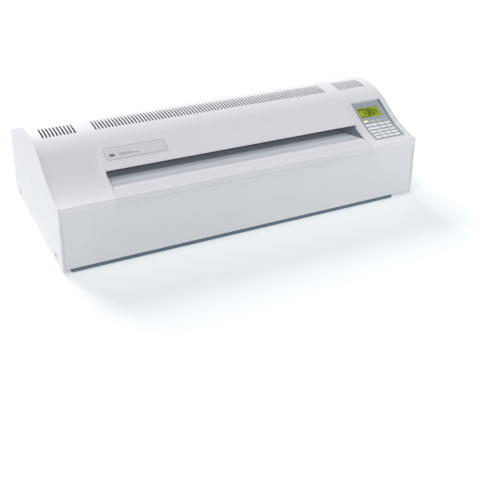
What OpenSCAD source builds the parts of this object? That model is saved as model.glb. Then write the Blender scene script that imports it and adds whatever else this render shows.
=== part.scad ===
// Wide pouch laminator: a housing with a feed slot at the front and an exit slot at the rear, two pairs of
// rollers driven by a gear motor, and a control panel at the right-hand end.
// X runs along the machine, the front faces -Y and Z is up. The origin is at the middle of the footprint, on
// the surface that the feet stand on. Modules that draw the side outline use depth from the front edge, y = 0.

/* [Body] */
// Length over the two end covers
body_l = 680; // [670:2:700]
// Depth from the front lip to the rear lip
body_d = 335; // [331:1:338]
// Height of the front edge
front_h = 117; // [116:0.5:118]
// Wall of the moulded covers
wall = 3; // [2.6:0.1:3.2]

/* [Feed slot] */
// Width of the feed slot
slot_w = 486; // [470:2:486]
// Depth of the hood's lip behind the front edge
lip_y = 60; // [58:0.5:64]

/* [Vents] */
// Distance from one vent slot to the next
vent_pitch = 6.1; // [5.6:0.1:6.3]
// Width of one vent slot
vent_w = 3; // [2:0.1:3.4]
// Number of slots in the middle row
vent_mid = 76; // [40:2:76]
// Number of slots in each end row
vent_end = 10; // [4:1:10]

/* [Rollers] */
// Radius of the silicone sleeves
sleeve_r = 20.1; // [19.5:0.05:20.1]
// Module of the roller gears
gear_m = 1.5; // [1.5:0.1:1.5]
// Teeth of each roller gear
gear_z = 27; // [27:1:27]
// Teeth of the motor pinion
pinion_z = 15; // [15:1:15]

/* [Control panel] */
// Distance between key rows, front to back
row_pitch = 8.5; // [8.2:0.1:8.6]
// Distance between key columns
col_pitch = 14.2; // [13.6:0.1:14.4]
// Travel of a key
key_travel = 0.6; // [0.3:0.1:0.8]

/* [Hidden] */
$fn = 48;
half_l = body_l / 2;
slot_x = slot_w / 2;
end_t = 4;                    // thickness of an end cover
inner_x = half_l - end_t;     // where the covers between the end covers stop
gap = 0.4;                    // gap between neighbouring covers

// Side outline: concave ledge, straight rise, crest and a straight fall to the rear
ledge_a = 7.5;
rise_a = 31;
fall_a = 21.5;
hood_a = 24.3;
ledge_r = 208;
crest_r = 145;
crest_y = 102;
edge_r = 2.5;
liner_t = 0.8;
vent_t = 1.4;                 // thickness of the cover at the vents
vent_end_x = 292.5;           // middle of an end row of vents
arc_step = 1.25;
ledge_c = [-ledge_r * sin(ledge_a), front_h + ledge_r * cos(ledge_a)];
rise_p = [ledge_c[0] + ledge_r * sin(rise_a), ledge_c[1] - ledge_r * cos(rise_a)];
crest_p = [crest_y, rise_p[1] + (crest_y - rise_p[0]) * tan(rise_a)];
crest_c = [crest_p[0] + crest_r * sin(rise_a), crest_p[1] - crest_r * cos(rise_a)];

// Roller centres, as depth and height
front_y = 130;
rear_y = 190;
gear_r = gear_m * gear_z / 2;
pinion_r = gear_m * pinion_z / 2;
lower_z = 90;
upper_z = lower_z + 2 * gear_r;
nip_z = (lower_z + upper_z) / 2;
mid_y = (front_y + rear_y) / 2;
pinion_c = [mid_y, lower_z - sqrt(pow(gear_r + pinion_r, 2) - pow((rear_y - front_y) / 2, 2))];
frame_x = 252;                // inner face of a side frame
frame_t = 3;
sleeve_x = 241;
gear_x = [-267, -258.5];      // ends of the gears
journal_r = 11;
core_r = 15;
lamp_bore_r = 8;
bush_r = 14;
yoke_w = 26;                  // width of a yoke's block, which slides in the frame's slot
yoke_z = [116, 146];
strap_z = 158;                // underside of the straps that the pressure springs push against

// Control panel
panel_x = [262.5, 329];
panel_y = [19.5, 111.5];
panel_sink = [1, 5];          // how far the bezel lies below the cover, at its front and at its rear
panel_a = 24.8;               // tilt of the control board and of the keys' travel
lcd_x = [269.3, 316.8];
lcd_y = [79.3, 101.2];
light_y = 69.8;
light_w = 10.6;
light_d = 4.4;
key_row_y = 61.3;
key_col_x = 273.5;
key_w = 11.8;
key_d = 6.2;
key_r = 1.2;

// Base
base_z = 9.5;
skirt_x = [-326, 298];
skirt_y = [3, 331];
foot_x = [-292, 264];
foot_y = [34, 300];
foot_r = 12;
screw_y = [42, 296];
screw_z = 16;
exit_z = [104, 118];

// Keys: [row, first column, number of columns covered]
KEYS = concat([for (r = [0, 1]) each [[r, 0, 2], [r, 2, 1], [r, 3, 1]]],
              [for (r = [2 : 4], c = [0 : 3]) [r, c, 1]]);
function key_name(k) = str("key_", k[0] + 1, "_", k[1] + 1);

// ---- Side outline ----
function ledge_pt(a, d) = [ledge_c[0] + (ledge_r + d) * sin(a), ledge_c[1] - (ledge_r + d) * cos(a)];
function crest_pt(a, d) = [crest_c[0] - (crest_r - d) * sin(a), crest_c[1] + (crest_r - d) * cos(a)];
function sweep(from, to) = let (n = ceil(abs(to - from) / arc_step)) [for (i = [0 : n]) from + (to - from) * i / n];
function fall_z(y, d) = let (p = crest_pt(-fall_a, d)) p[1] - (y - p[0]) * tan(fall_a);

// Corner arc from the vertical front at y = 0 to the ledge, and from the fall to the vertical rear
function front_a(r, d) = asin((r - ledge_c[0]) / (ledge_r + d + r));
function front_arc(r, d) = let (a = front_a(r, d), p = ledge_pt(a, d), c = [r, p[1] - r * cos(a)])
    [for (i = [0 : 6]) let (t = 180 - (90 - a) * i / 6) c + r * [cos(t), sin(t)]];
function rear_arc(r, d) = let (c = [body_d - r, fall_z(body_d - r, d) - r / cos(fall_a)])
    [for (i = [0 : 6]) let (t = (90 - fall_a) * (1 - i / 6)) c + r * [cos(t), sin(t)]];

// Outline of the outer surface, d below it, with rounded front and rear edges
function outline(d, r) = concat(front_arc(r, d), [for (a = sweep(front_a(r, d), rise_a)) ledge_pt(a, d)],
                                [for (a = sweep(rise_a, -fall_a)) crest_pt(a, d)], rear_arc(r, d));
// The same surface d below, running on past the front and the rear
function skin_line(d) = concat([ledge_pt(0, d) + [-10, 0]], [for (a = sweep(0, rise_a)) ledge_pt(a, d)],
                             [for (a = sweep(rise_a, -fall_a)) crest_pt(a, d)],
                             [[body_d + 20, fall_z(body_d + 20, d)]]);
module under(d) polygon(concat(skin_line(d), [[body_d + 20, -5], [skin_line(d)[0][0], -5]]));
module band(top, bottom, from, to) intersection() {
    difference() {
        under(top);
        under(bottom);
    }
    translate([from, 0]) square([to - from, 250]);
}

// Places a drawing of the side outline between x0 and x1
module across(x0, x1) translate([x0, -body_d / 2, 0]) rotate([90, 0, 90]) linear_extrude(x1 - x0) children();
module both_ends() {
    children();
    mirror([1, 0, 0]) children();
}
// A cylinder along X between x0 and x1, centred on c = [depth, height]
module rod(c, r, x0, x1) translate([x0, c[0] - body_d / 2, c[1]]) rotate([0, 90, 0]) cylinder(r = r, h = x1 - x0);
module block(x, y, z) translate([x[0], y[0] - body_d / 2, z[0]]) cube([x[1] - x[0], y[1] - y[0], z[1] - z[0]]);
module rounded(w, h, r) union() {
    for (sx = [-1, 1], sy = [-1, 1]) translate([sx * (w / 2 - r), sy * (h / 2 - r)]) circle(r, $fn = 24);
    square([w, h - 2 * r], center = true);
    square([w - 2 * r, h], center = true);
}

// ---- Covers ----
// The hood: a straight panel tangent to the crest that ends in a rounded lip over the slot
module hood_section() {
    outer = crest_pt(hood_a, 0);
    run = (outer[0] - lip_y) / cos(hood_a);
    nose = crest_pt(hood_a, wall / 2) - (run - wall / 2) * [cos(hood_a), sin(hood_a)];
    polygon(concat(
        [for (i = [0 : 8]) let (t = 270 + hood_a - 180 * i / 8) nose + wall / 2 * [cos(t), sin(t)]],
        [for (a = sweep(hood_a, -fall_a)) crest_pt(a, 0)],
        rear_arc(edge_r, 0), [[body_d, 121], [body_d - wall, 121], [body_d - wall, fall_z(body_d - wall, wall)]],
        [for (a = sweep(-fall_a, hood_a)) crest_pt(a, wall)]));
}
module end_section() difference() {
    polygon(concat([[0, 107]], outline(0, edge_r), [[body_d, 107]]));
    intersection() {
        under(wall);
        translate([wall, 0]) square([body_d - 2 * wall, 250]);
    }
    translate([body_d / 2, 0]) square([body_d, 121]);
}
// Height of the hood's straight panel at depth y
function hood_z(y) = crest_pt(hood_a, 0)[1] - (crest_pt(hood_a, 0)[0] - y) * tan(hood_a);
// Wall beside the feed slot, up to the hood or the ledge, whichever is higher
module cheek_section() intersection() {
    union() {
        under(0);
        polygon([crest_pt(hood_a, 0), crest_pt(hood_a, 0) - (crest_pt(hood_a, 0)[0] - lip_y) / cos(hood_a) *
                 [cos(hood_a), sin(hood_a)], [lip_y + 0.5, 110], [crest_pt(hood_a, 0)[0], 110]]);
    }
    translate([25, 104]) square([90, 100]);
}
module vent_row(count, x) for (i = [0 : count - 1])
    translate([x + (i - (count - 1) / 2) * vent_pitch, 169.5 - body_d / 2, 140]) linear_extrude(60)
        rounded(vent_w, 37, vent_w / 2 - 0.05);
module top_cover() color("whitesmoke") difference() {
    union() {
        both_ends() across(slot_x + 2.4, inner_x) end_section();
        across(-slot_x - 2.4, slot_x + 2.4) hood_section();
        both_ends() across(slot_x, slot_x + 2.4) cheek_section();
    }
    vent_row(vent_mid, 0);
    both_ends() vent_row(vent_end, vent_end_x);
    // The wall is thinner where the slots go through it
    across(-vent_mid * vent_pitch / 2, vent_mid * vent_pitch / 2) band(vent_t, wall + 1, 149, 190);
    both_ends() across(vent_end_x - vent_end * vent_pitch / 2, vent_end_x + vent_end * vent_pitch / 2)
        band(vent_t, wall + 1, 149, 190);
    across(panel_x[0] - gap, panel_x[1] + gap) band(-5, 8, panel_y[0] - gap, panel_y[1] + gap);
}
module end_cover() color("whitesmoke") {
    difference() {
        union() {
            across(inner_x, half_l) polygon(concat([[0, base_z - 4]], outline(-1, edge_r + 0.5),
                                                   [[body_d, base_z - 4]]));
            across(inner_x - 3, inner_x) difference() {
                intersection() {
                    under(wall + gap);
                    translate([8, 13]) square([body_d - 17, 200]);
                }
                intersection() {
                    under(wall + 2.4);
                    translate([10, 15]) square([body_d - 21, 200]);
                }
            }
        }
        for (y = screw_y) {
            rod([y, screw_z], 4.4, half_l - 1.8, half_l + 1);
            rod([y, screw_z], 2.1, inner_x - 10, half_l);
        }
    }
}
module left_end_cover() mirror([1, 0, 0]) end_cover();
module right_end_cover() end_cover();

// Screw: pan head in the counterbore with a cross recess, and a threaded shank drawn plain
module cover_screws() color("dimgray") both_ends() for (y = screw_y) difference() {
    union() {
        rod([y, screw_z], 3.6, half_l - 1.8, half_l - 0.2);
        rod([y, screw_z], 1.9, inner_x - 8, half_l - 1.8);
    }
    block([half_l - 1, half_l + 1], [y - 2, y + 2], [screw_z - 0.4, screw_z + 0.4]);
    block([half_l - 1, half_l + 1], [y - 0.4, y + 0.4], [screw_z - 2, screw_z + 2]);
}
module front_panel() color("gainsboro") difference() {
    union() {
        block([-inner_x + gap, inner_x - gap], [0.8, 2.8], [base_z, 107 - gap]);
        block([-inner_x + gap, inner_x - gap], [2.8, 14], [base_z, base_z + 1.5]);
        block([-inner_x + 10, inner_x - 10], [2.8, 4.8], [88, 113]);
    }
    block([-slot_x - 2, slot_x + 2], [-1, 3.2], [96 - gap, 120]);
    both_ends() block([slot_x + 1.9, inner_x], [-1, 3.2], [107 - gap, 120]);
}
module rear_panel() color("gainsboro") difference() {
    union() {
        block([-inner_x + gap, inner_x - gap], [body_d - 3.4, body_d - 1.6], [base_z, 121 - gap]);
        block([-inner_x + gap, inner_x - gap], [body_d - 14, body_d - 3.4], [base_z, base_z + 1.5]);
        block([-inner_x + 10, inner_x - 10], [body_d - 5, body_d - 3.4], [118.5, 124]);
    }
    block([-slot_x, slot_x], [body_d - 20, body_d + 5], exit_z);
    block([263.6, 320.4], [body_d - 20, body_d + 5], [30.6, 59.4]);
    for (i = [0 : 23]) block([-300 + i * 9, -296.5 + i * 9], [body_d - 6, body_d + 5], [36, 74]);
    for (i = [0 : 17]) block([70 + i * 9, 73.5 + i * 9], [body_d - 6, body_d + 5], [36, 74]);
}
// The feed table: front lip, ledge, rounded brow and a slope down into the slot
table_fall = 11;
brow_r = 25;
brow_y = 24;
brow_a = asin((brow_y - ledge_c[0]) / ledge_r);
brow_c = ledge_pt(brow_a, 0) - brow_r * [-sin(brow_a), cos(brow_a)];
table_y = 92;
function table_z(y) = let (p = brow_c + brow_r * [sin(table_fall), cos(table_fall)]) p[1] - (y - p[0]) * tan(table_fall);
function brow_pts(d) = [for (a = sweep(brow_a, -table_fall)) brow_c + (brow_r - d) * [-sin(a), cos(a)]];
module table_section() {
    t = 2.4;
    polygon(concat([[0, 96]], front_arc(edge_r, 0), [for (a = sweep(front_a(edge_r, 0), brow_a)) ledge_pt(a, 0)],
                   brow_pts(0), [[table_y, table_z(table_y)], [table_y, table_z(table_y) - t]],
                   [for (i = [len(brow_pts(t)) - 1 : -1 : 0]) brow_pts(t)[i]],
                   [for (a = sweep(brow_a, 9)) ledge_pt(a, t)], [[t, 113], [t, 96]]));
}
module feed_table() color("whitesmoke") difference() {
    across(-slot_x - 2, slot_x + 2) table_section();
    both_ends() block([slot_x - liner_t - gap, slot_x + 5], [24.6, 120], [90, 140]);
    block([-slot_x - 3, slot_x + 3], [-1, 0.5], [106.6, 107]);
}
// Dark side guide on each cheek, a little below the cover's surface and the hood's underside
module slot_liners() color("dimgray") both_ends() across(slot_x - liner_t, slot_x) {
    intersection() {
        under(1);
        translate([27, 104.5]) square([lip_y - 27.4, 90]);
    }
    polygon([[lip_y - 0.5, 104.5], [lip_y - 0.5, hood_z(lip_y - 0.5) - wall / cos(hood_a) - gap],
             [112, hood_z(112) - wall / cos(hood_a) - gap], [112, 104.5]]);
}
module base_pan() color("lightslategray") difference() {
    union() {
        block([-inner_x + 1, inner_x - 1], [15, body_d - 15], [base_z, base_z + 1.5]);
        block([skirt_x[0], skirt_x[1]], [skirt_y[0], skirt_y[1]], [1.5, base_z]);
        both_ends() for (y = screw_y) block([inner_x - 8, inner_x - 6], [y - 8, y + 8], [base_z, 24]);
    }
    block([skirt_x[0] + 2, skirt_x[1] - 2], [skirt_y[0] + 2, skirt_y[1] - 2], [-1, base_z - 1.5]);
    for (x = foot_x, y = foot_y) translate([x, y - body_d / 2, 0]) cylinder(r = 2.1, h = 20);
    both_ends() for (y = screw_y) rod([y, screw_z], 2, inner_x - 12, inner_x);
    for (i = [0 : 15]) block([-60 + i * 9, -56 + i * 9], [100, 150], [0, 20]);
}
// Rubber foot with the screw that holds it to the pan
module feet() color("dimgray") for (x = foot_x, y = foot_y) translate([x, y - body_d / 2, 0]) {
    difference() {
        cylinder(r1 = foot_r - 1, r2 = foot_r, h = base_z - 1.5);
        translate([0, 0, -1]) cylinder(r = 4.5, h = 4);
        cylinder(r = 2.1, h = 20);
    }
    translate([0, 0, 1]) cylinder(r = 3.8, h = 2);
    translate([0, 0, 3]) cylinder(r = 2, h = base_z);
}
module nameplate() color("lightgray") {
    size = [110, 28];
    centre = crest_pt(hood_a, 0) - 28.7 * [cos(hood_a), sin(hood_a)];
    translate([-180.5, centre[0] - body_d / 2, centre[1]]) rotate([hood_a, 0, 0]) translate([0, 0, 0.03])
        linear_extrude(0.5) rounded(size[0], size[1], 4);
}

// ---- Control panel ----
module panel_cut(x, y) translate([(x[0] + x[1]) / 2, (y[0] + y[1]) / 2 - body_d / 2, 80]) linear_extrude(110)
    rounded(x[1] - x[0], y[1] - y[0], 1);
function col_x(c) = key_col_x + c * col_pitch;
function row_y(r) = key_row_y - r * row_pitch;
// Height of the outer surface at depth y on the ledge arc
function ledge_z(y) = ledge_c[1] - sqrt(pow(ledge_r, 2) - pow(y - ledge_c[0], 2));
// Height of the cover's outer surface at depth y, and of the bezel's top, which falls away from it
function cover_z(y) = y < rise_p[0] ? ledge_z(y) : y < crest_p[0] ? rise_p[1] + (y - rise_p[0]) * tan(rise_a) :
    crest_c[1] + sqrt(pow(crest_r, 2) - pow(y - crest_c[0], 2));
function panel_z(y) = cover_z(y) - panel_sink[0] - (panel_sink[1] - panel_sink[0]) * (y - panel_y[0]) / 92;
module panel_band(top, bottom, from, to) polygon(concat(
    [for (i = [0 : 24]) let (y = from + (to - from) * i / 24) [y, panel_z(y) - top]],
    [for (i = [24 : -1 : 0]) let (y = from + (to - from) * i / 24) [y, panel_z(y) - bottom]]));
// Puts children with their Z along the keys' travel, on the bezel at a key's middle
module key_place(k) translate([col_x(k[1] + (k[2] - 1) / 2), row_y(k[0]) - body_d / 2, panel_z(row_y(k[0]))])
    rotate([panel_a, 0, 0]) children();
module key_cut(k, extra) key_place(k) translate([0, 0, -20])
    linear_extrude(40) rounded(key_w + (k[2] - 1) * col_pitch + 2 * extra, key_d + 2 * extra, key_r + extra);
module light_cut(c, extra) translate([col_x(c), light_y - body_d / 2, panel_z(light_y)]) rotate([panel_a, 0, 0])
    translate([0, 0, -12]) linear_extrude(20) rounded(light_w + 2 * extra, light_d + 2 * extra, 1 + extra);
module control_bezel() color("darkgray") difference() {
    union() {
        across(panel_x[0] - 3, panel_x[1] + 3) intersection() {
            under(wall + 0.1);
            panel_band(-8, 4, panel_y[0] - 4, panel_y[1] + 4);
        }
        across(panel_x[0], panel_x[1]) panel_band(0, 2.4, panel_y[0], panel_y[1]);
        intersection() {
            board_place() for (x = [-29, 29], y = [-40, 42]) translate([x, y, 0]) cylinder(r = 1.6, h = 30);
            across(panel_x[0], panel_x[1]) panel_band(1, 30, panel_y[0], 120);
        }
    }
    across(panel_x[0], panel_x[1]) panel_band(-9, 0, panel_y[0], panel_y[1]);
    panel_cut(lcd_x, lcd_y);
    for (k = KEYS) key_cut(k, 0.3);
    for (c = [0 : 3]) light_cut(c, 0.1);
}
module lcd_window() color("yellowgreen") intersection() {
    panel_cut(lcd_x + [0.05, -0.05], lcd_y + [0.05, -0.05]);
    across(lcd_x[0] - 1, lcd_x[1] + 1) panel_band(0.6, 3.4, lcd_y[0] - 2, lcd_y[1] + 2);
}
// The board lies square to the keys' travel, below the panel
board_c = [64, 120];
module board_place() translate([(panel_x[0] + panel_x[1]) / 2, board_c[0] - body_d / 2, board_c[1]])
    rotate([panel_a, 0, 0]) children();
// Height above the board, along its normal, of a point of the side outline
function above_board(p) = (p[1] - board_c[1]) * cos(panel_a) - (p[0] - board_c[0]) * sin(panel_a);
module control_board() color("seagreen") {
    board_place() translate([-31, -46, -1.6]) cube([62, 92, 1.6]);
    for (k = KEYS) key_place(k) let (h = above_board([row_y(k[0]), panel_z(row_y(k[0]))]))
        translate([0, 0, -h]) {
            translate([-2.6, -2.6, 0]) cube([5.2, 5.2, 1.2]);
            cylinder(r = 1.2, h = 1.8);
        }
}
module lcd_module() color("silver") board_place()
    translate([(lcd_x[0] + lcd_x[1] - panel_x[0] - panel_x[1]) / 2 - 24, 16.4, 0]) cube([48, 25, 8.2]);
module indicator_lights() color("lightyellow") for (c = [0 : 3]) intersection() {
    light_cut(c, 0);
    across(col_x(c) - light_w, col_x(c) + light_w) panel_band(-0.8, 6, light_y - 6, light_y + 6);
}
// Key: a cap that follows the panel's curve, a flange under the bezel and a stem down to its switch
module key(k) color("gainsboro") {
    h = above_board([row_y(k[0]), panel_z(row_y(k[0]))]);
    w = key_w + (k[2] - 1) * col_pitch;
    intersection() {
        key_place(k) translate([0, 0, -6.2]) linear_extrude(12) rounded(w, key_d, key_r);
        across(panel_x[0], panel_x[1]) panel_band(-1.2, 20, 10, 110);
    }
    key_place(k) translate([0, 0, -7.6]) linear_extrude(1.5) rounded(w + 1.4, key_d + 1.4, key_r + 0.6);
    key_place(k) translate([0, 0, 1.9 + key_travel - h]) cylinder(r = 1.6, h = h - 7.4 - 1.9 - key_travel);
}

// ---- Frames ----
module yoke_slots(w, bottom) for (y = [front_y, rear_y]) translate([y - w / 2, bottom]) square([w, 60]);
module side_frame() color("silver") {
    difference() {
        union() {
            across(frame_x, frame_x + frame_t) difference() {
                polygon([[62, 11], [300, 11], [300, 128], [240, 152], [110, 152], [84, 134], [62, 112]]);
                yoke_slots(yoke_w + 0.2, 113);
                for (y = [front_y, rear_y]) translate([y, lower_z]) circle(bush_r + 0.02);
                translate([235, 62]) circle(22);
                translate([mid_y, 40]) rounded(60, 24, 8);
            }
            block([frame_x, frame_x + 26], [62, 290], [11, 12.5]);
            block([frame_x + 24, frame_x + 26], [front_y - 9, front_y + 9], [11, upper_z + 10]);
            for (y = [front_y, rear_y]) for (s = [-1, 1])
                block([frame_x, frame_x + frame_t], [y + s * 15.2 - 1.8, y + s * 15.2 + 1.8], [150, strap_z + 2]);
            for (y = [front_y, rear_y])
                block([frame_x - 5, frame_x + frame_t], [y - 17, y + 17], [strap_z, strap_z + 2]);
        }
        for (z = [lower_z, upper_z]) rod([front_y, z], 5.6, frame_x + 20, frame_x + 30);
    }
}
module left_side_frame() mirror([1, 0, 0]) side_frame();
module right_side_frame() side_frame();
module tie_bars() color("silver") for (c = [[92, 34], [275, 34], [262, 138]]) {
    rod(c, 5, -frame_x, frame_x);
}

// ---- Rollers ----
module sleeve(c) color("indianred") difference() {
    rod(c, sleeve_r, -sleeve_x, sleeve_x);
    rod(c, core_r + 0.02, -sleeve_x - 1, sleeve_x + 1);
}
// Core: a tube with turned-down journals, hollow so that a lamp can pass through it
module core(c, bore) color("silver") difference() {
    union() {
        rod(c, core_r, -246, 246);
        rod(c, journal_r, gear_x[0] - 1.5, 260);
    }
    if (bore > 0) rod(c, bore, -300, 300);
}
function involute(rb, t) = rb * [cos(t) + t * PI / 180 * sin(t), sin(t) - t * PI / 180 * cos(t)];
function spin(p, a) = [p[0] * cos(a) - p[1] * sin(a), p[0] * sin(a) + p[1] * cos(a)];
// One flank of a tooth, from the base circle to the tip, with the tooth centred on angle 0
function flank(z, play) = let (rp = gear_m * z / 2, rb = rp * cos(20), ra = rp + 0.9 * gear_m,
    t_tip = sqrt(pow(ra / rb, 2) - 1) * 180 / PI, t_p = sqrt(pow(rp / rb, 2) - 1) * 180 / PI,
    half = 90 / z - play / rp * 90 / PI, at_p = atan2(involute(rb, t_p)[1], involute(rb, t_p)[0]))
    [for (i = [0 : 5]) spin(involute(rb, t_tip * i / 5), -half - at_p)];
module gear_2d(z, phase) {
    f = flank(z, 0.3);
    root = gear_m * z / 2 - 1.2 * gear_m;
    tooth = concat([root * [cos(-120 / z), sin(-120 / z)]], f,
                   [for (i = [5 : -1 : 0]) [f[i][0], -f[i][1]]], [root * [cos(120 / z), sin(120 / z)]]);
    rotate(phase) union() {
        circle(root + 0.02, $fn = 96);
        for (i = [0 : z - 1]) rotate(i * 360 / z) polygon(concat([[0, 0]], tooth));
    }
}
// Phase of gear b, seen at angle beta from gear a, so that its gaps meet a's teeth
function mesh_phase(za, phase_a, zb, beta) = beta + 180 - (0.5 - (beta - phase_a) * za / 360) * 360 / zb;
to_pinion = atan2(pinion_c[1] - lower_z, pinion_c[0] - front_y);
from_pinion = atan2(lower_z - pinion_c[1], rear_y - pinion_c[0]);
lf_phase = 0;
uf_phase = mesh_phase(gear_z, lf_phase, gear_z, 90);
pinion_phase = mesh_phase(gear_z, lf_phase, pinion_z, to_pinion);
lr_phase = mesh_phase(pinion_z, pinion_phase, gear_z, from_pinion);
ur_phase = mesh_phase(gear_z, lr_phase, gear_z, 90);
module roller_gear(c, phase) color("ivory") difference() {
    across(gear_x[0], gear_x[1]) translate(c) gear_2d(gear_z, phase);
    rod(c, journal_r + 0.02, -300, -200);
    for (i = [0 : 5]) rod(c + 14.7 * [cos(i * 60 + 30), sin(i * 60 + 30)], 2, -300, -200);
}
module motor_pinion() color("ivory") {
    across(gear_x[0], gear_x[1]) translate(pinion_c) gear_2d(pinion_z, pinion_phase);
    rod(pinion_c, 3, gear_x[0] - 20, gear_x[0]);
}
module roller_bushes() color("peru") both_ends() for (y = [front_y, rear_y]) difference() {
    union() {
        rod([y, lower_z], bush_r, frame_x, frame_x + frame_t + 0.8);
        rod([y, lower_z], bush_r + 3, frame_x - 2, frame_x);
    }
    rod([y, lower_z], journal_r + 0.05, frame_x - 5, frame_x + 9);
}
// Yoke: one plate at each end that carries both upper rollers in blocks guided by the frame
module pressure_yokes() color("darkslategray") both_ends() difference() {
    union() {
        block([frame_x - 3, frame_x - 0.3], [front_y - 17, rear_y + 17], yoke_z);
        for (y = [front_y, rear_y])
            block([frame_x - 1, frame_x + frame_t + 1.2], [y - yoke_w / 2, y + yoke_w / 2], yoke_z);
    }
    for (y = [front_y, rear_y]) rod([y, upper_z], journal_r + 0.05, frame_x - 5, frame_x + 9);
    block([frame_x - 5, frame_x], [mid_y - 12, mid_y + 12], [110, 134]);
}
// Spring: a round wire swept along a helix between the yoke and the frame's strap
spring_turns = 4;
function spring_ring(i, n, h, r, wire) = let (a = 360 * spring_turns * i / n, zc = wire + (h - 2 * wire) * i / n)
    [for (j = [0 : 5]) let (t = 60 * j, q = r + wire * cos(t)) [q * cos(a), q * sin(a), zc + wire * sin(t)]];
module spring(h, r, wire) {
    n = 12 * spring_turns;
    pts = [for (i = [0 : n]) each spring_ring(i, n, h, r, wire)];
    side = [for (i = [0 : n - 1], j = [0 : 5]) [i * 6 + j, i * 6 + (j + 1) % 6, (i + 1) * 6 + (j + 1) % 6, (i + 1) * 6 + j]];
    polyhedron(pts, concat([[5, 4, 3, 2, 1, 0]], side, [[for (j = [0 : 5]) n * 6 + j]]));
}
module pressure_springs() color("silver") both_ends() for (y = [front_y, rear_y])
    translate([frame_x + 0.4, y - body_d / 2, yoke_z[1] + 0.05]) spring(strap_z - yoke_z[1] - 0.1, 3.4, 0.6);

// ---- Drive, heat and power ----
module gear_motor() color("dimgray") difference() {
    union() {
        rod(pinion_c, 18, -294, -274);
        rod(pinion_c, 15.5, -326, -294);
        rod(pinion_c, 5, -331, -326);
    }
    rod(pinion_c, 3.05, -288, -270);
}
module motor_bracket() color("silver") difference() {
    union() {
        block([-274, -272], [mid_y - 20, mid_y + 20], [12.5, pinion_c[1] + 22]);
        block([-300, -272], [mid_y - 20, mid_y + 20], [12.5, 14]);
    }
    rod(pinion_c, 5, -300, -260);
}
module heater_lamps() color("white") for (z = [lower_z, upper_z]) {
    rod([front_y, z], 4.5, -272, 272);
    both_ends() rod([front_y, z], 5.5, 272, 286);
}
module guide(points, reach = frame_x) across(-reach, reach) polygon(points);
module pouch_guides() color("slategray") {
    guide([[66.5, 138.5], [70, 138.5], [118, 112.6], [118, 111.6]], slot_x - liner_t);
    guide([[93, 109.4], [118, 108.8], [118, 107.8], [93, 108.4]], slot_x - liner_t);
    guide([[142.5, 107.6], [177.5, 107.6], [177.5, 106.6], [142.5, 106.6]]);
    guide([[142.5, 113.9], [177.5, 113.9], [177.5, 112.9], [142.5, 112.9]]);
    guide([[203, 107.6], [331, 104.6], [331, 103.6], [203, 106.6]]);
    guide([[203, 114], [329.5, 118], [329.5, 117], [203, 113]]);
}
module power_board() color("darkgreen") {
    block([282, 328], [150, 296], [20, 21.6]);
    for (x = [286, 324], y = [154, 292]) block([x - 2, x + 2], [y - 2, y + 2], [base_z + 1.5, 20]);
    block([288, 320], [160, 196], [21.6, 52]);
    for (i = [0 : 2]) translate([291 + i * 14, 212 - body_d / 2, 21.6]) cylinder(r = 5, h = 18);
    block([286, 302], [226, 242], [21.6, 38]);
    block([307, 323], [226, 242], [21.6, 38]);
    for (i = [0 : 5]) block([288 + i * 6, 290 + i * 6], [252, 288], [21.6, 44]);
}
module power_inlet() color("black") difference() {
    union() {
        block([260, 324], [body_d - 1.6, body_d], [28, 62]);
        block([264, 320], [body_d - 32, body_d - 1.6], [31, 59]);
    }
    difference() {
        block([268, 292], [body_d - 16, body_d + 1], [37, 53.5]);
        block([272, 274], [body_d - 17, body_d - 5.5], [43, 47]);
        block([286, 288], [body_d - 17, body_d - 5.5], [43, 47]);
        block([279, 281], [body_d - 17, body_d - 5.5], [47.5, 51.5]);
    }
    block([301, 315], [body_d - 18, body_d + 1], [34, 56]);
    rod(rocker_c, 1.55, 298.5, 317.5);
}
// Rocker: two shallow faces on a round body that turns on two pins in the inlet
rocker_c = [body_d - 8.5, 45];
module power_rocker() color("firebrick") {
    across(301.6, 314.4) translate(rocker_c) rotate(-8) intersection() {
        circle(10.4);
        polygon([[-6, -9], [-6, 9], [6.6, 10.4], [5, 0], [6.6, -10.4]]);
    }
    rod(rocker_c, 1.5, 299, 317);
}

top_cover();
left_end_cover();
right_end_cover();
front_panel();
rear_panel();
base_pan();
feet();
feed_table();
slot_liners();
cover_screws();
nameplate();
control_bezel();
lcd_window();
lcd_module();
indicator_lights();
control_board();
for (k = KEYS) key(k);
left_side_frame();
right_side_frame();
tie_bars();
sleeve([front_y, lower_z]);  // lower_front_sleeve
sleeve([rear_y, lower_z]);  // lower_rear_sleeve
sleeve([front_y, upper_z]);  // upper_front_sleeve
sleeve([rear_y, upper_z]);  // upper_rear_sleeve
core([front_y, lower_z], lamp_bore_r);  // lower_front_core
core([rear_y, lower_z], 0);  // lower_rear_core
core([front_y, upper_z], lamp_bore_r);  // upper_front_core
core([rear_y, upper_z], 0);  // upper_rear_core
roller_gear([front_y, lower_z], lf_phase);  // lower_front_gear
roller_gear([rear_y, lower_z], lr_phase);  // lower_rear_gear
roller_gear([front_y, upper_z], uf_phase);  // upper_front_gear
roller_gear([rear_y, upper_z], ur_phase);  // upper_rear_gear
roller_bushes();
pressure_yokes();
pressure_springs();
gear_motor();
motor_bracket();
motor_pinion();
heater_lamps();
pouch_guides();
power_board();
power_inlet();
power_rocker();
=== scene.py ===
import bpy, bmesh, math
from mathutils import Matrix, Vector
from mathutils.bvhtree import BVHTree


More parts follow.
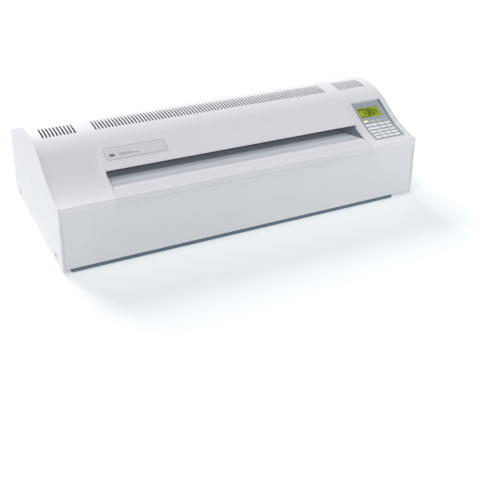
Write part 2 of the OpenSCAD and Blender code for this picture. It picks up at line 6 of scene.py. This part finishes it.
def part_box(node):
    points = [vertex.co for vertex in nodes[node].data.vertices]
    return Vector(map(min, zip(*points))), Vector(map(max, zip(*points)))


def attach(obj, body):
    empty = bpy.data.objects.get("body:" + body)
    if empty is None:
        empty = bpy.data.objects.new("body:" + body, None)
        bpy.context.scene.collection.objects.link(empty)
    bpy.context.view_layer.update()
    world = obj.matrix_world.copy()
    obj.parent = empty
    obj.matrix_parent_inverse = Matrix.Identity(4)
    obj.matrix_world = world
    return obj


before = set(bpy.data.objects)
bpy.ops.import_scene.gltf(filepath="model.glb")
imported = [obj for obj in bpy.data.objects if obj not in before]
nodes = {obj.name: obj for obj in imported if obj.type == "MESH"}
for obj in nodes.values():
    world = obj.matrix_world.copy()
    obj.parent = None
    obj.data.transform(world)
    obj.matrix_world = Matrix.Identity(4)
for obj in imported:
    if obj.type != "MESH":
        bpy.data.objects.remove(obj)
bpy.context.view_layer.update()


# ---- Materials ----
def ramp(nt, source, stops):
    """A colour ramp driven by source, with stops as (position, colour)."""
    n = nt.nodes.new("ShaderNodeValToRGB")
    while len(n.color_ramp.elements) < len(stops):
        n.color_ramp.elements.new(0.5)
    for e, (at, colour) in zip(n.color_ramp.elements, stops):
        e.position = at
        e.color = (*colour, 1)
    nt.links.new(source, n.inputs[0])
    return n.outputs[0]


def noise(nt, scale, detail=2.0, rough=0.5, stretch=(1, 1, 1)):
    """Noise in object coordinates, per metre."""
    c = nt.nodes.new("ShaderNodeTexCoord")
    m = nt.nodes.new("ShaderNodeMapping")
    m.inputs["Scale"].default_value = stretch
    n = nt.nodes.new("ShaderNodeTexNoise")
    n.inputs["Scale"].default_value = scale
    n.inputs["Detail"].default_value = detail
    n.inputs["Roughness"].default_value = rough
    nt.links.new(c.outputs["Object"], m.inputs["Vector"])
    nt.links.new(m.outputs[0], n.inputs["Vector"])
    return n.outputs["Fac"]


def shift(colour, by):
    return tuple(max(0.0, min(1.0, v * (1 + by))) for v in colour)


def material(name, colour, rough=0.5, metal=0.0, grain=1500, bump=0.02, tone=0.02, depth=0.0002,
             coat=0.0, stretch=(1, 1, 1), rough_span=0.06, **sockets):
    """A moulded, painted or metal surface: fine grain in the bump, broad tone and gloss variation."""
    m = bpy.data.materials.new(name)
    m.use_nodes = True
    nt = m.node_tree
    s = nt.nodes["Principled BSDF"]
    broad = noise(nt, 14, 3, stretch=stretch)
    fine = noise(nt, grain, 2, 0.6, stretch)
    nt.links.new(ramp(nt, broad, [(0.3, shift(colour, -tone)), (0.7, shift(colour, tone))]), s.inputs["Base Color"])
    span = nt.nodes.new("ShaderNodeMapRange")
    span.inputs["To Min"].default_value = rough - rough_span
    span.inputs["To Max"].default_value = rough + rough_span
    nt.links.new(fine, span.inputs["Value"])
    nt.links.new(span.outputs[0], s.inputs["Roughness"])
    b = nt.nodes.new("ShaderNodeBump")
    b.inputs["Strength"].default_value = bump
    b.inputs["Distance"].default_value = depth
    nt.links.new(fine, b.inputs["Height"])
    nt.links.new(b.outputs[0], s.inputs["Normal"])
    s.inputs["Metallic"].default_value = metal
    s.inputs["Coat Weight"].default_value = coat
    for key, value in sockets.items():
        s.inputs[key.replace("_", " ")].default_value = value
    return m


def bounce(strength):
    """Stands in for the light that the white covers throw back and forth inside the slot."""
    return {"Emission_Color": (0.86, 0.92, 1.0, 1), "Emission_Strength": strength}


def lcd_material():
    """Yellow-green display, lit from behind, a little uneven."""
    m = material("lcd", (0.26, 0.34, 0.012), 0.16, grain=900, bump=0.0, tone=0.10, coat=0.6)
    nt = m.node_tree
    s = nt.nodes["Principled BSDF"]
    nt.links.new(s.inputs["Base Color"].links[0].from_socket, s.inputs["Emission Color"])
    s.inputs["Emission Strength"].default_value = 0.25
    return m


WHITE = (0.76, 0.765, 0.795)
mats = {
    "shell": material("shell", WHITE, 0.42, grain=1300, bump=0.10, tone=0.012, coat=0.05),
    "liner": material("liner", (0.15, 0.17, 0.205), 0.5, grain=1300, bump=0.10, tone=0.03, **bounce(0.045)),
    "end": material("end", (0.72, 0.725, 0.745), 0.46, grain=1300, bump=0.10, tone=0.012),
    "panel": material("panel", (0.73, 0.745, 0.77), 0.40, grain=2100, bump=0.14, tone=0.015),
    "table": material("table", (0.71, 0.72, 0.75), 0.38, grain=1300, bump=0.06, tone=0.012,
                      coat=0.1, **bounce(0.17)),
    "plinth": material("plinth", (0.12, 0.17, 0.23), 0.5, grain=2100, bump=0.15, tone=0.03),
    "rubber": material("rubber", (0.018, 0.018, 0.02), 0.8, grain=900, bump=0.4, tone=0.10),
    "screw": material("screw", (0.03, 0.03, 0.033), 0.35, 0.7, grain=2500, bump=0.1, tone=0.05),
    "plate": material("plate", (0.70, 0.71, 0.745), 0.32, grain=1800, bump=0.04, tone=0.015, coat=0.2),
    "bezel": material("bezel", (0.42, 0.45, 0.50), 0.42, 0.10, grain=1900, bump=0.10, tone=0.02),
    "key": material("key", (0.84, 0.86, 0.89), 0.5, grain=1500, bump=0.06, tone=0.03),
    "light": material("light", (0.62, 0.64, 0.60), 0.25, grain=1200, bump=0.02, tone=0.03, coat=0.4),
    "lcd": lcd_material(),
    "can": material("can", (0.55, 0.55, 0.57), 0.35, 0.9, grain=1500, bump=0.05, stretch=(0.05, 1, 1)),
    "board": material("board", (0.012, 0.10, 0.035), 0.38, grain=700, bump=0.08, tone=0.2, coat=0.4),
    "zinc": material("zinc", (0.52, 0.54, 0.56), 0.38, 0.9, grain=600, bump=0.05, tone=0.10),
    "steel": material("steel", (0.55, 0.56, 0.58), 0.26, 1.0, grain=1800, bump=0.06, tone=0.04, stretch=(0.04, 1, 1)),
    "dark_steel": material("dark_steel", (0.09, 0.095, 0.10), 0.42, 0.6, grain=1200, bump=0.10, tone=0.06),
    "bronze": material("bronze", (0.42, 0.25, 0.10), 0.42, 1.0, grain=1500, bump=0.08, tone=0.12),
    "gear": material("gear", (0.70, 0.66, 0.55), 0.45, grain=1200, bump=0.05, tone=0.03),
    "silicone": material("silicone", (0.085, 0.09, 0.10), 0.62, grain=900, bump=0.08, tone=0.05, **bounce(0.03)),
    "guide": material("guide", (0.40, 0.42, 0.47), 0.45, 0.2, grain=1500, bump=0.06, tone=0.05,
                      stretch=(0.04, 1, 1), **bounce(0.05)),
    "lamp": material("lamp", (0.86, 0.86, 0.84), 0.12, grain=300, bump=0.02, tone=0.03, Transmission_Weight=0.7),
    "motor": material("motor", (0.12, 0.125, 0.13), 0.35, 0.8, grain=900, bump=0.08, tone=0.06),
    "black": material("black", (0.012, 0.012, 0.013), 0.42, grain=1600, bump=0.20, tone=0.10),
    "ink": material("ink", (0.20, 0.21, 0.24), 0.5, grain=900, bump=0.02, tone=0.10),
    "key_ink": material("key_ink", (0.16, 0.17, 0.21), 0.5, grain=900, bump=0.02, tone=0.10),
    "lcd_ink": material("lcd_ink", (0.035, 0.055, 0.006), 0.3, grain=900, bump=0.02, tone=0.15),
    "glow": material("glow", (0.50, 0.62, 0.10), 0.25, grain=900, bump=0.02, tone=0.05,
                     Emission_Color=(0.80, 0.95, 0.45, 1), Emission_Strength=0.8),
    "rocker": material("rocker", (0.016, 0.016, 0.017), 0.22, grain=1200, bump=0.03, tone=0.10, coat=0.3),
}
NODE_MATS = {
    "top_cover": "shell", "left_end_cover": "end", "right_end_cover": "end", "front_panel": "panel",
    "rear_panel": "panel", "base_pan": "plinth", "feet": "rubber", "feed_table": "table", "cover_screws": "screw",
    "nameplate": "plate", "slot_liners": "liner", "control_bezel": "bezel", "lcd_window": "lcd", "lcd_module": "can",
    "indicator_lights": "light", "control_board": "board", "left_side_frame": "zinc", "right_side_frame": "zinc",
    "tie_bars": "steel", "roller_bushes": "bronze", "pressure_yokes": "dark_steel", "pressure_springs": "steel",
    "gear_motor": "motor", "motor_bracket": "zinc", "motor_pinion": "gear", "heater_lamps": "lamp",
    "pouch_guides": "guide", "power_board": "board", "power_inlet": "black", "power_rocker": "rocker",
}


def fade_towards_front(mat, front_y, back_y):
    """Lets a material's painted bounce light, its emission, grow from nothing at depth front_y to its full strength
    at back_y.
    """
    nt = mat.node_tree
    strength = nt.nodes["Principled BSDF"].inputs["Emission Strength"]
    place = nt.nodes.new("ShaderNodeNewGeometry")
    split = nt.nodes.new("ShaderNodeSeparateXYZ")
    ramp = nt.nodes.new("ShaderNodeMapRange")
    for key, value in (("From Min", front_y), ("From Max", back_y), ("To Max", strength.default_value)):
        ramp.inputs[key].default_value = value
    nt.links.new(place.outputs["Position"], split.inputs[0])
    nt.links.new(split.outputs["Y"], ramp.inputs["Value"])
    nt.links.new(ramp.outputs["Result"], strength)


# Painted bounce light on the feed table: it glows only on the slope behind the brow, inside the slot
fade_towards_front(mats["table"], -0.150, -0.112)


def chosen(name):
    if name.startswith("key_"):
        return "key"
    for end, m in (("_sleeve", "silicone"), ("_core", "steel"), ("_gear", "gear")):
        if name.endswith(end):
            return m
    return NODE_MATS[name]


for name, o in nodes.items():
    o.data.materials.clear()
    o.data.materials.append(mats[chosen(name)])
    for p in o.data.polygons:
        p.material_index = 0


# ---- Extra pieces ----
def piece(name, bm, body, mat, bevel=0.0):
    """Makes an object from a bmesh, with edges softened when bevel is given, that rides on a body."""
    bmesh.ops.recalc_face_normals(bm, faces=bm.faces[:])
    mesh = bpy.data.meshes.new(name)
    bm.to_mesh(mesh)
    bm.free()
    o = bpy.data.objects.new(name, mesh)
    bpy.context.scene.collection.objects.link(o)
    o.data.materials.append(mats[mat])
    if bevel:
        m = o.modifiers.new("edges", "BEVEL")
        m.width = bevel
        m.segments = 2
        m.limit_method = "ANGLE"
    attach(o, body)
    return o


def tilted(origin, tilt):
    """A plane's own frame: X along the machine, Y up the slope, Z out of the surface."""
    return Matrix.Translation(origin) @ Matrix.Rotation(tilt, 4, "X")


def drop(name, x, y):
    """The highest point of a CAD node's surface at x and y, and the normal there."""
    mesh = nodes[name].data
    tree = BVHTree.FromPolygons([v.co for v in mesh.vertices], [f.vertices[:] for f in mesh.polygons])
    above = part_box(name)[1][2] + 0.02
    return tree.ray_cast(Vector((x, y, above)), Vector((0, 0, -1)))[:2]


def laid_on(hit, normal):
    """A plane's own frame on a surface that tilts about X only."""
    return tilted(hit, math.atan2(-normal.y, normal.z))


def prism(bm, outline, low, high, place):
    """Adds a closed solid over a convex outline, between two heights above the plane."""
    rings = [[bm.verts.new(place @ Vector((x, y, z))) for x, y in outline] for z in (low, high)]
    n = len(outline)
    bm.faces.new(rings[0][::-1])
    bm.faces.new(rings[1])
    for k in range(n):
        bm.faces.new((rings[0][k], rings[0][(k + 1) % n], rings[1][(k + 1) % n], rings[1][k]))


def rounded(w, h, r, cx=0.0, cy=0.0, steps=6):
    """Outline of a rectangle with rounded corners."""
    pts = []
    for sx, sy, a0 in ((1, 1, 0), (-1, 1, 90), (-1, -1, 180), (1, -1, 270)):
        for k in range(steps + 1):
            a = math.radians(a0 + 90 * k / steps)
            pts.append((cx + sx * (w / 2 - r) + r * math.cos(a), cy + sy * (h / 2 - r) + r * math.sin(a)))
    return pts


def ring(bm, outer, inner, low, high, place):
    """Adds a closed frame between two outlines with the same number of points."""
    n = len(outer)
    v = [[bm.verts.new(place @ Vector((x, y, z))) for x, y in pts] for pts in (outer, inner) for z in (low, high)]
    for k in range(n):
        m = (k + 1) % n
        bm.faces.new((v[0][k], v[0][m], v[1][m], v[1][k]))
        bm.faces.new((v[3][k], v[3][m], v[2][m], v[2][k]))
        bm.faces.new((v[1][k], v[1][m], v[3][m], v[3][k]))
        bm.faces.new((v[2][k], v[2][m], v[0][m], v[0][k]))


# Blank label on the hood: a fine dark border, a plain oval and a plain rule, with no lettering
HOOD = math.radians(24.3)  # tilt of the hood's straight panel
lo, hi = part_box("nameplate")
plate_w = hi[0] - lo[0]
plate_d = (hi[1] - lo[1] - 0.0005 * math.sin(HOOD)) / math.cos(HOOD)
plate = tilted(((lo[0] + hi[0]) / 2, hi[1] - plate_d / 2 * math.cos(HOOD),
                hi[2] - plate_d / 2 * math.sin(HOOD)), HOOD)
bm = bmesh.new()
ring(bm, rounded(plate_w - 0.0012, plate_d - 0.0012, 0.0036), rounded(plate_w - 0.0022, plate_d - 0.0022, 0.0031),
     -0.0002, 0.00012, plate)
piece("label_border", bm, "housing", "ink")
bm = bmesh.new()
OVAL_SIDES = 32
turns = [t * math.tau / OVAL_SIDES for t in range(OVAL_SIDES)]
oval = [(0.0052 * math.cos(a) - 0.043, 0.0034 * math.sin(a) - 0.004) for a in turns]
prism(bm, oval, -0.0002, 0.00015, plate)
prism(bm, rounded(0.036, 0.0012, 0.0005, -0.013, -0.0050), -0.0002, 0.00012, plate)
prism(bm, rounded(0.024, 0.0009, 0.0004, -0.019, -0.0018), -0.0002, 0.00012, plate)
piece("label_mark", bm, "housing", "ink")

# Display: three generic digits in the middle, with short bars above and a level bar below
lo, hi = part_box("lcd_window")
LCD = math.atan(0.6009 - 0.04348)  # the cover's slope there, less the slope that the panel sinks by
lcd_w = hi[0] - lo[0]
lcd_d = (hi[1] - lo[1]) / math.cos(LCD)
glass = tilted(((lo[0] + hi[0]) / 2, (lo[1] + hi[1]) / 2, hi[2] - lcd_d / 2 * math.sin(LCD)), LCD)
SEGMENTS = {"0": "abcdef", "1": "bc", "3": "abgcd"}
bm = bmesh.new()


def digit(char, cx, cy, w, h, t):
    spots = {"a": (0, h / 2, 1), "g": (0, 0, 1), "d": (0, -h / 2, 1), "b": (w / 2, h / 4, 0), "c": (w / 2, -h / 4, 0),
             "f": (-w / 2, h / 4, 0), "e": (-w / 2, -h / 4, 0)}
    for k in SEGMENTS[char]:
        x, y, flat = spots[k]
        size = (w - t * 0.4, t) if flat else (t, h / 2 - t * 0.4)
        prism(bm, rounded(*size, t * 0.4, cx + x, cy + y, 2), -0.0001, 0.00025, glass)


for k, char in enumerate("130"):
    digit(char, -0.0115 + 0.0095 * k, -0.0004, 0.0058, 0.0108, 0.0023)
for k in range(9):
    if k != 5:
        prism(bm, rounded(0.0024, 0.0026, 0.0003, -0.0195 + 0.0031 * k, 0.0088, 2), -0.0001, 0.00025, glass)
for k in range(6):
    prism(bm, rounded(0.0032, 0.0016, 0.0003, -0.0190 + 0.0040 * k, -0.0096, 2), -0.0001, 0.00025, glass)
for k in range(3):
    prism(bm, rounded(0.0060 - 0.0012 * k, 0.0012, 0.0003, 0.0165, 0.0035 - 0.0030 * k, 2), -0.0001, 0.00025, glass)
piece("lcd_marks", bm, "housing", "lcd_ink")

# Painted shade along the right side of the panel's opening: a dark strip where the recess wall lies in shadow,
# deepest at the rear corner
FLANGE = (0.003, 0.004)  # how far the bezel reaches under the cover, in X and in Y
lo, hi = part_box("control_bezel")
bm = bmesh.new()
rows = []
SHADE_STRIP_STEPS = 12
SHADE_STRIP_RUN = 0.058  # how far the painted-shade strip runs down the panel
SHADE_STRIP_RISE = 0.0034  # its height at the rear corner
for k in range(SHADE_STRIP_STEPS + 1):
    y = hi[1] - FLANGE[1] - 0.0006 - SHADE_STRIP_RUN * k / SHADE_STRIP_STEPS
    base = drop("control_bezel", hi[0] - FLANGE[0] - 0.0006, y)[0].z
    tall = SHADE_STRIP_RISE * (1 - k / SHADE_STRIP_STEPS) + 0.0002
    rows.append([bm.verts.new((hi[0] - FLANGE[0] - dx, y, z)) for dx, z in
                 ((0.0009, base - 0.0003), (0.0002, base - 0.0003), (0.0002, base + tall), (0.0009, base + tall))])
for a, b in zip(rows, rows[1:]):
    for k in range(4):
        bm.faces.new((a[k], a[(k + 1) % 4], b[(k + 1) % 4], b[k]))
bm.faces.new(rows[0])
bm.faces.new(rows[-1][::-1])
piece("panel_painted_shade", bm, "housing", "liner")

# Key marks: plain bars, dots and triangles, each riding on its own key
KEY_MIDDLE = 0.0046  # from a key's rear edge to its mark
for name in sorted(n for n in nodes if n.startswith("key_")):
    lo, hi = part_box(name)
    row, column = (int(v) for v in name.split("_")[1:3])
    top = laid_on(*drop(name, (lo[0] + hi[0]) / 2, hi[1] - KEY_MIDDLE))
    bm = bmesh.new()
    kind = (row * 2 + column) % 3
    if kind == 0:
        prism(bm, rounded(0.0040, 0.0010, 0.0004, 0, 0, 3), -0.0002, 0.0001, top)
    elif kind == 1:
        prism(bm, rounded(0.0018, 0.0018, 0.00088, 0, 0, 4), -0.0002, 0.0001, top)
    else:
        prism(bm, [(-0.0014, -0.0009), (0.0014, -0.0009), (0, 0.0012)], -0.0002, 0.0001, top)
    piece(name + "_mark", bm, name + "_body", "key_ink")

# The left light of the row is on: a lens over it
lo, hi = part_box("indicator_lights")
bm = bmesh.new()
LENS = (0.0086, 0.0030)
prism(bm, rounded(*LENS, 0.0008), -0.0002, 0.0003,
      laid_on(*drop("indicator_lights", lo[0] + 0.0053, hi[1] - 0.0030)))
piece("light_lens", bm, "housing", "glow", 0.0001)


# ---- Floor, light and camera ----
floor_mat = material("floor", (0.56, 0.57, 0.58), 0.9, grain=60, bump=0.0, tone=0.003,
                     Emission_Color=(0.93, 0.975, 1.0, 1), Emission_Strength=0.42)
bm = bmesh.new()
bmesh.ops.create_grid(bm, x_segments=1, y_segments=1, size=20)
mesh = bpy.data.meshes.new("floor")
bm.to_mesh(mesh)
bm.free()
floor = bpy.data.objects.new("floor", mesh)
floor.data.materials.append(floor_mat)
bpy.context.scene.collection.objects.link(floor)


def sun(name, towards, strength, spread, colour=(1, 1, 1)):
    """A broad, even light that comes from the direction towards."""
    d = bpy.data.lights.new(name, "SUN")
    d.energy = strength * math.pi
    d.angle = math.radians(spread)
    d.color = colour
    o = bpy.data.objects.new(name, d)
    o.rotation_euler = Vector(towards).to_track_quat("Z", "Y").to_euler()
    bpy.context.scene.collection.objects.link(o)


sun("back", (-0.18, 0.86, 0.47), 1.2, 35)
sun("overhead", (-0.35, -0.42, 0.84), 0.52, 50)
fill = bpy.data.lights.new("fill", "AREA")
fill.energy = 0.6
fill.size = 0.5
fill_obj = bpy.data.objects.new("fill", fill)
bpy.context.scene.collection.objects.link(fill_obj)
FILL_FROM, FILL_AT = Vector((0.62, -0.66, 0.28)), Vector((0.25, -0.17, 0.06))
fill_obj.location = FILL_FROM
fill_obj.rotation_euler = (FILL_FROM - FILL_AT).to_track_quat("Z", "Y").to_euler()

world = bpy.data.worlds.new("studio")
world.use_nodes = True
world.node_tree.nodes["Background"].inputs[0].default_value = (0.97, 0.98, 1.0, 1)
world.node_tree.nodes["Background"].inputs[1].default_value = 0.20
bpy.context.scene.world = world
bpy.context.scene.view_settings.view_transform = "Standard"

AZ, EL, ROLL = (math.radians(a) for a in (27.35, 23.55, 0.99))
forward = Vector((math.sin(AZ) * math.cos(EL), math.cos(AZ) * math.cos(EL), -math.sin(EL)))
side = forward.cross(Vector((0, 0, 1))).normalized()
up = side.cross(forward)
right = math.cos(ROLL) * side + math.sin(ROLL) * up
top = -math.sin(ROLL) * side + math.cos(ROLL) * up
cam = bpy.data.cameras.new("camera")
cam.lens = 58.54
cam.sensor_width = 36
cam.shift_y = -0.2
view = bpy.data.objects.new("camera", cam)
turned = Matrix((right, top, -forward)).transposed().to_4x4()
view.matrix_world = Matrix.Translation((-0.586, -1.2795, 0.704)) @ turned
bpy.context.scene.collection.objects.link(view)
bpy.context.scene.camera = view
